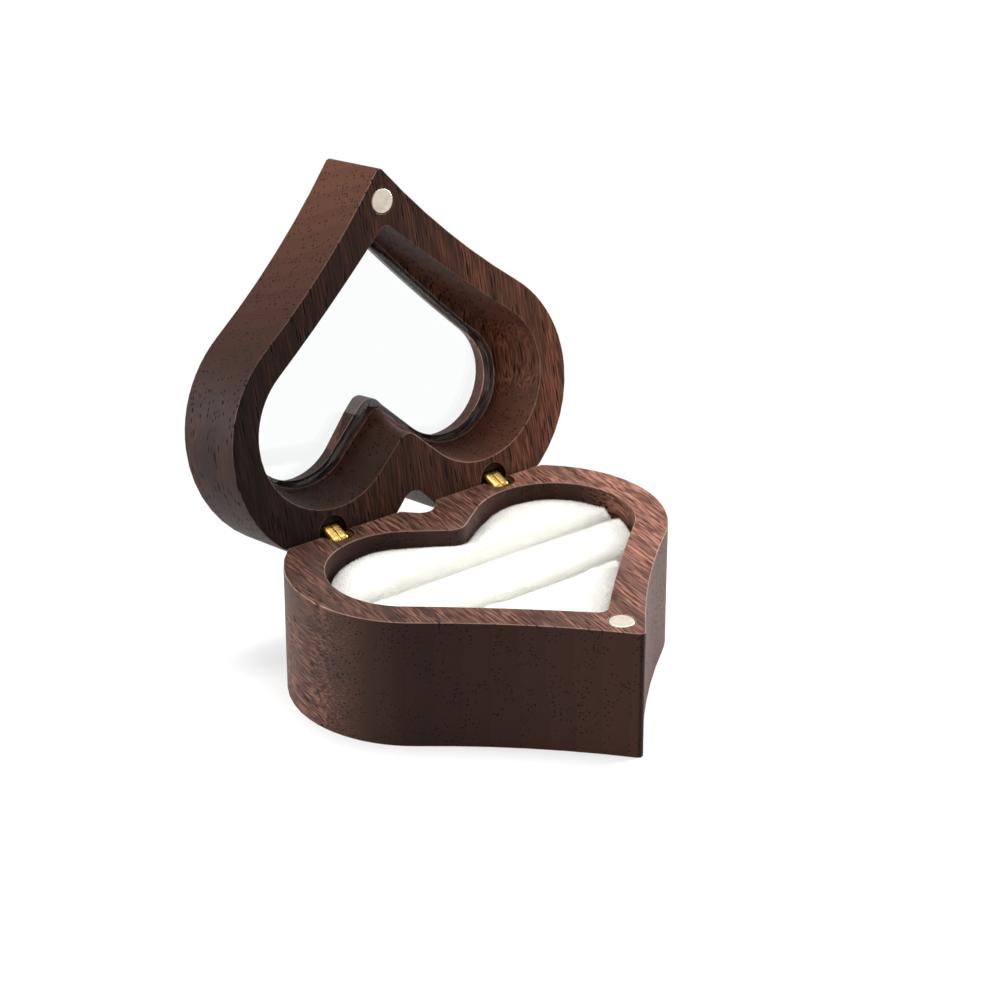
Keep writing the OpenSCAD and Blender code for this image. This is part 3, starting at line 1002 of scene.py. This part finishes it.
@dataclass
class Viewpoint:
    """The camera, at the angle from which the box was photographed."""

    azimuth: float = 38.15
    elevation: float = 25.47
    distance_mm: float = 456.2
    target_mm: Triple = (-2.9, 0.5, 32.1)
    lens_mm: float = 108.3
    sensor_mm: float = 36.0
    clip_m: Range = (0.01, 50.0)

    def build(self) -> None:
        """Places the camera and makes it the scene's."""
        side, up = math.radians(self.azimuth), math.radians(self.elevation)
        away = Vector((-math.sin(side) * math.cos(up), -math.cos(side) * math.cos(up), math.sin(up)))
        data = bpy.data.cameras.new("view")
        data.lens = self.lens_mm
        data.sensor_fit = "HORIZONTAL"
        data.sensor_width = self.sensor_mm
        data.clip_start, data.clip_end = self.clip_m
        camera = bpy.data.objects.new("view", data)
        camera.location = (Vector(self.target_mm) + away * self.distance_mm) * MM
        camera.rotation_euler = (-away).to_track_quat("-Z", "Y").to_euler()
        bpy.context.scene.collection.objects.link(camera)
        bpy.context.scene.camera = camera
        LOG.info("camera at %s", tuple(round(v, 4) for v in camera.location))


@dataclass
class Softbox:
    """One square soft light, aimed at the box."""

    name: str
    place: Triple
    size: float
    watts: float

    def build(self, aim: Vector) -> None:
        """Places the light.

        Args:
            aim: The point that it faces.
        """
        data = bpy.data.lights.new(self.name, "AREA")
        data.shape = "SQUARE"
        data.size = self.size
        data.energy = self.watts
        light = bpy.data.objects.new(self.name, data)
        light.location = self.place
        light.rotation_euler = (aim - Vector(self.place)).to_track_quat("-Z", "Y").to_euler()
        bpy.context.scene.collection.objects.link(light)


@dataclass
class Studio:
    """A plain white table under soft boxes."""

    floor_m: float = 6.0
    near_m: float = 0.034
    far_m: float = 0.066
    white: str = "#ffffff"
    paper: str = "#c8c8c8"
    bounce: str = "#4a4a4a"
    lift: float = 0.42
    sky: float = 0.07
    gloss: float = 0.75
    aim: Triple = (0.0, 0.0, 0.03)
    boxes: Sequence[Softbox] = field(default_factory=lambda: (
        Softbox("top_light", (0.1, 0.1, 0.62), 0.42, 5.5),
        Softbox("left_light", (-0.56, 0.3, 0.17), 0.34, 8.5),
        Softbox("right_light", (0.62, -0.1, 0.17), 0.34, 6.2),
    ))

    def build(self) -> None:
        """Builds the lights, the surroundings and the floor."""
        bpy.context.scene.view_settings.view_transform = "Standard"
        for box in self.boxes:
            box.build(Vector(self.aim))
        self._surroundings()
        self._floor()

    def _seen(self, tree: bpy.types.NodeTree) -> bpy.types.NodeSocket:
        """Is 1 for what the camera sees, straight or through the pane, and less in a reflection."""
        path = add_node(tree, "ShaderNodeLightPath").outputs
        straight = calculate(tree, "MAXIMUM", path["Is Camera Ray"], path["Is Transmission Ray"])
        mirror = calculate(tree, "MULTIPLY", path["Is Glossy Ray"], self.gloss)
        return calculate(tree, "MAXIMUM", straight, mirror)

    def _surroundings(self) -> None:
        """White where it is seen, and a low even light on the object."""
        world = bpy.data.worlds.new("white_room")
        world.use_nodes = True
        world.node_tree.nodes.clear()
        tree = world.node_tree
        light = add_node(tree, "ShaderNodeBackground", {
            "Color": linear(self.white), "Strength": remap(tree, self._seen(tree), UNIT, (self.sky, 1.0)),
        })
        add_node(tree, "ShaderNodeOutputWorld", {"Surface": light.outputs[0]})
        bpy.context.scene.world = world

    def _floor(self) -> None:
        """A large pale floor that keeps the shadow near the object and fades to white further out."""
        half = self.floor_m / 2
        mesh = bpy.data.meshes.new("floor")
        mesh.from_pydata([(-half, -half, 0), (half, -half, 0), (half, half, 0), (-half, half, 0)], [], [(0, 1, 2, 3)])
        floor = new_object("floor", mesh)
        material, tree = blank_material("white_table")
        seen = self._seen(tree)
        reach = add_node(tree, "ShaderNodeVectorMath", {0: object_place(tree)}, operation="LENGTH").outputs["Value"]
        away = remap(tree, reach, (self.near_m, self.far_m), smooth=True)
        color = mixed(tree, seen, linear(self.bounce), linear(self.paper))
        paper = add_node(tree, "ShaderNodeBsdfDiffuse", {"Color": color})
        glow = calculate(tree, "MULTIPLY", seen, self.lift)
        lifted = add_node(tree, "ShaderNodeEmission", {"Color": linear(self.white), "Strength": glow})
        lit = add_node(tree, "ShaderNodeAddShader", {0: paper.outputs[0], 1: lifted.outputs[0]})
        white = add_node(tree, "ShaderNodeEmission", {"Color": linear(self.white), "Strength": 1.0})
        fade = calculate(tree, "MULTIPLY", away, seen)
        both = add_node(tree, "ShaderNodeMixShader", {0: fade, 1: lit.outputs[0], 2: white.outputs[0]})
        add_node(tree, "ShaderNodeOutputMaterial", {"Surface": both.outputs[0]})
        mesh.materials.append(material)


def main() -> None:
    """Builds the box and its surroundings."""
    logging.basicConfig(level=logging.INFO, format="%(name)s: %(message)s")
    Viewpoint().build()
    for assembly in (WoodenHalves(), Window(), Catch(), Hinges(), Cushion(), Studio()):
        LOG.info("building %s", type(assembly).__name__)
        assembly.build()


if __name__ == "__main__":
    main()
